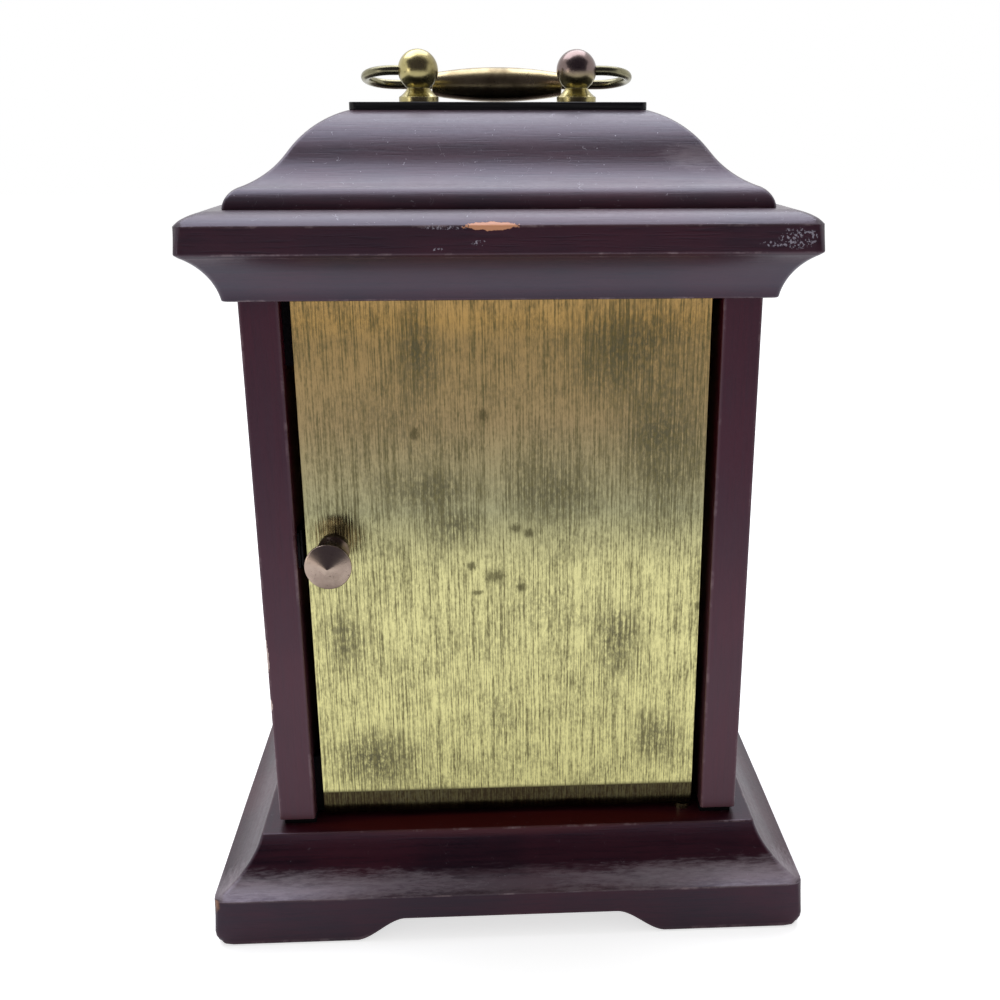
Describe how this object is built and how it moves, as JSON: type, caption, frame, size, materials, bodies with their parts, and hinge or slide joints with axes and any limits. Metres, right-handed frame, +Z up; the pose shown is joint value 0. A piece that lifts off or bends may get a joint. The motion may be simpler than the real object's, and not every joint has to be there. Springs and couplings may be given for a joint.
{
  "type": "pendulette clock",
  "caption": "Small wooden bracket clock with a bell top, brushed brass back door, brass carrying handle and a key-wound movement behind a glazed dial.",
  "frame": {"origin": "middle of the base at floor level", "axes": "+Z up; the brass back door faces -Y, the dial faces +Y, and +X is to the right seen from the door"},
  "size_m": [0.1338, 0.0938, 0.1905],
  "materials": {
    "mahogany": "gloss",
    "black_wood": "satin",
    "plain_wood": "matte",
    "brushed_brass": "brushed",
    "turned_brass": "polished",
    "bronzed_brass": "polished",
    "plate_brass": "satin",
    "wheel_brass": "polished",
    "steel": "polished",
    "blued_steel": "gloss",
    "glass": "polished",
    "dial_brass": "satin",
    "enamel": "satin"
  },
  "bodies": {
    "case": {"base_long_rails": "mahogany", "base_end_rails": "mahogany", "side_panel_left": "mahogany", "side_panel_right": "mahogany", "front_frame": "mahogany", "cornice_long_rails": "mahogany", "cornice_end_rails": "mahogany", "bell_long_rails": "mahogany", "bell_end_rails": "mahogany", "base_board": "mahogany", "bell_cap": "black_wood", "case_floor": "black_wood", "door_stops": "black_wood", "bell_core": "plain_wood", "roof_board": "plain_wood", "dial_battens": "plain_wood", "handle_posts": "turned_brass", "hinge_pins": "turned_brass", "sight_frame": "turned_brass", "back_plate": "plate_brass", "front_plate": "plate_brass", "pillars": "plate_brass", "balance_cock": "plate_brass", "dial_posts": "plate_brass", "plate_screws": "steel", "small_screws": "steel", "case_screws": "steel", "dial_screws": "steel", "click_spring": "steel", "hairspring": "steel", "door_catch": "blued_steel", "front_glass": "glass", "dial_plate": "dial_brass", "chapter_ring": "enamel"},
    "door": {"rear_door": "brushed_brass", "door_knob": "turned_brass", "door_knob_screw": "steel"},
    "handle": {"bail_loops": "turned_brass", "bail_grip": "bronzed_brass"},
    "minute_arbor": {"centre_arbor": "steel", "set_knob": "turned_brass", "cannon_pinion": "wheel_brass", "minute_hand": "blued_steel", "hand_nut": "wheel_brass"},
    "minute_wheel": {"minute_wheel": "wheel_brass"},
    "hour_wheel": {"hour_wheel": "wheel_brass", "hour_hand": "blued_steel"},
    "centre_wheel": {"centre_wheel": "wheel_brass"},
    "third_wheel": {"third_wheel": "wheel_brass"},
    "fourth_wheel": {"fourth_wheel": "wheel_brass"},
    "escape_wheel": {"escape_wheel": "steel"},
    "barrel": {"mainspring_barrel": "wheel_brass", "barrel_cover": "plate_brass", "mainspring": "steel"},
    "winding_arbor": {"barrel_arbor": "steel", "ratchet_wheel": "steel", "winding_key": "turned_brass"},
    "click": {"click": "steel"},
    "lever": {"lever": "steel"},
    "balance": {"balance": "wheel_brass"}
  },
  "joints": [
    {"name": "door_hinge", "type": "hinge", "parent": "case", "child": "door", "pos_m": [0.0412, -0.0291, 0.08], "axis": [0, 0, 1], "range_deg": [0, 110]},
    {"name": "bail_fold", "type": "hinge", "parent": "case", "child": "handle", "pos_m": [0, 0, 0.1862], "axis": [1, 0, 0], "range_deg": [0, 202]},
    {"name": "minute_turn", "type": "hinge", "parent": "case", "child": "minute_arbor", "pos_m": [0, 0, 0.0823], "axis": [0, -1, 0], "continuous": true},
    {"name": "minute_wheel_turn", "type": "hinge", "parent": "case", "child": "minute_wheel", "pos_m": [0.0048, 0, 0.07399], "axis": [0, -1, 0], "continuous": true},
    {"name": "hour_turn", "type": "hinge", "parent": "case", "child": "hour_wheel", "pos_m": [0, 0, 0.0823], "axis": [0, -1, 0], "continuous": true},
    {"name": "train_run", "type": "hinge", "parent": "case", "child": "fourth_wheel", "pos_m": [0.00001, 0, 0.10045], "axis": [0, -1, 0], "continuous": true},
    {"name": "third_wheel_turn", "type": "hinge", "parent": "case", "child": "third_wheel", "pos_m": [-0.01202, 0, 0.09432], "axis": [0, -1, 0], "continuous": true},
    {"name": "centre_wheel_turn", "type": "hinge", "parent": "case", "child": "centre_wheel", "pos_m": [0, 0, 0.0823], "axis": [0, -1, 0], "continuous": true},
    {"name": "barrel_turn", "type": "hinge", "parent": "case", "child": "barrel", "pos_m": [0, 0, 0.0655], "axis": [0, -1, 0], "continuous": true},
    {"name": "escape_wheel_turn", "type": "hinge", "parent": "case", "child": "escape_wheel", "pos_m": [0.01151, 0, 0.10146], "axis": [0, -1, 0], "continuous": true},
    {"name": "winding_turn", "type": "hinge", "parent": "case", "child": "winding_arbor", "pos_m": [0, 0, 0.0655], "axis": [0, 1, 0], "range_deg": [0, 1800]},
    {"name": "click_rock", "type": "hinge", "parent": "case", "child": "click", "pos_m": [-0.01034, 0, 0.06174], "axis": [0, -1, 0], "range_deg": [0, 8], "stiffness_Nm_per_rad": 0.0002},
    {"name": "lever_rock", "type": "hinge", "parent": "case", "child": "lever", "pos_m": [0.01498, 0, 0.09732], "axis": [0, -1, 0], "range_deg": [-5, 5]},
    {"name": "balance_swing", "type": "hinge", "parent": "case", "child": "balance", "pos_m": [0.02, 0, 0.09134], "axis": [0, -1, 0], "range_deg": [-270, 270], "stiffness_Nm_per_rad": 0.000005}
  ],
  "couplings": [
    {"joint": "minute_wheel_turn", "follows": "minute_turn", "ratio": -0.33333},
    {"joint": "hour_turn", "follows": "minute_turn", "ratio": 0.083333},
    {"joint": "third_wheel_turn", "follows": "train_run", "ratio": -0.125},
    {"joint": "centre_wheel_turn", "follows": "train_run", "ratio": 0.016667},
    {"joint": "barrel_turn", "follows": "train_run", "ratio": -0.0027778},
    {"joint": "escape_wheel_turn", "follows": "train_run", "ratio": -10}
  ]
}
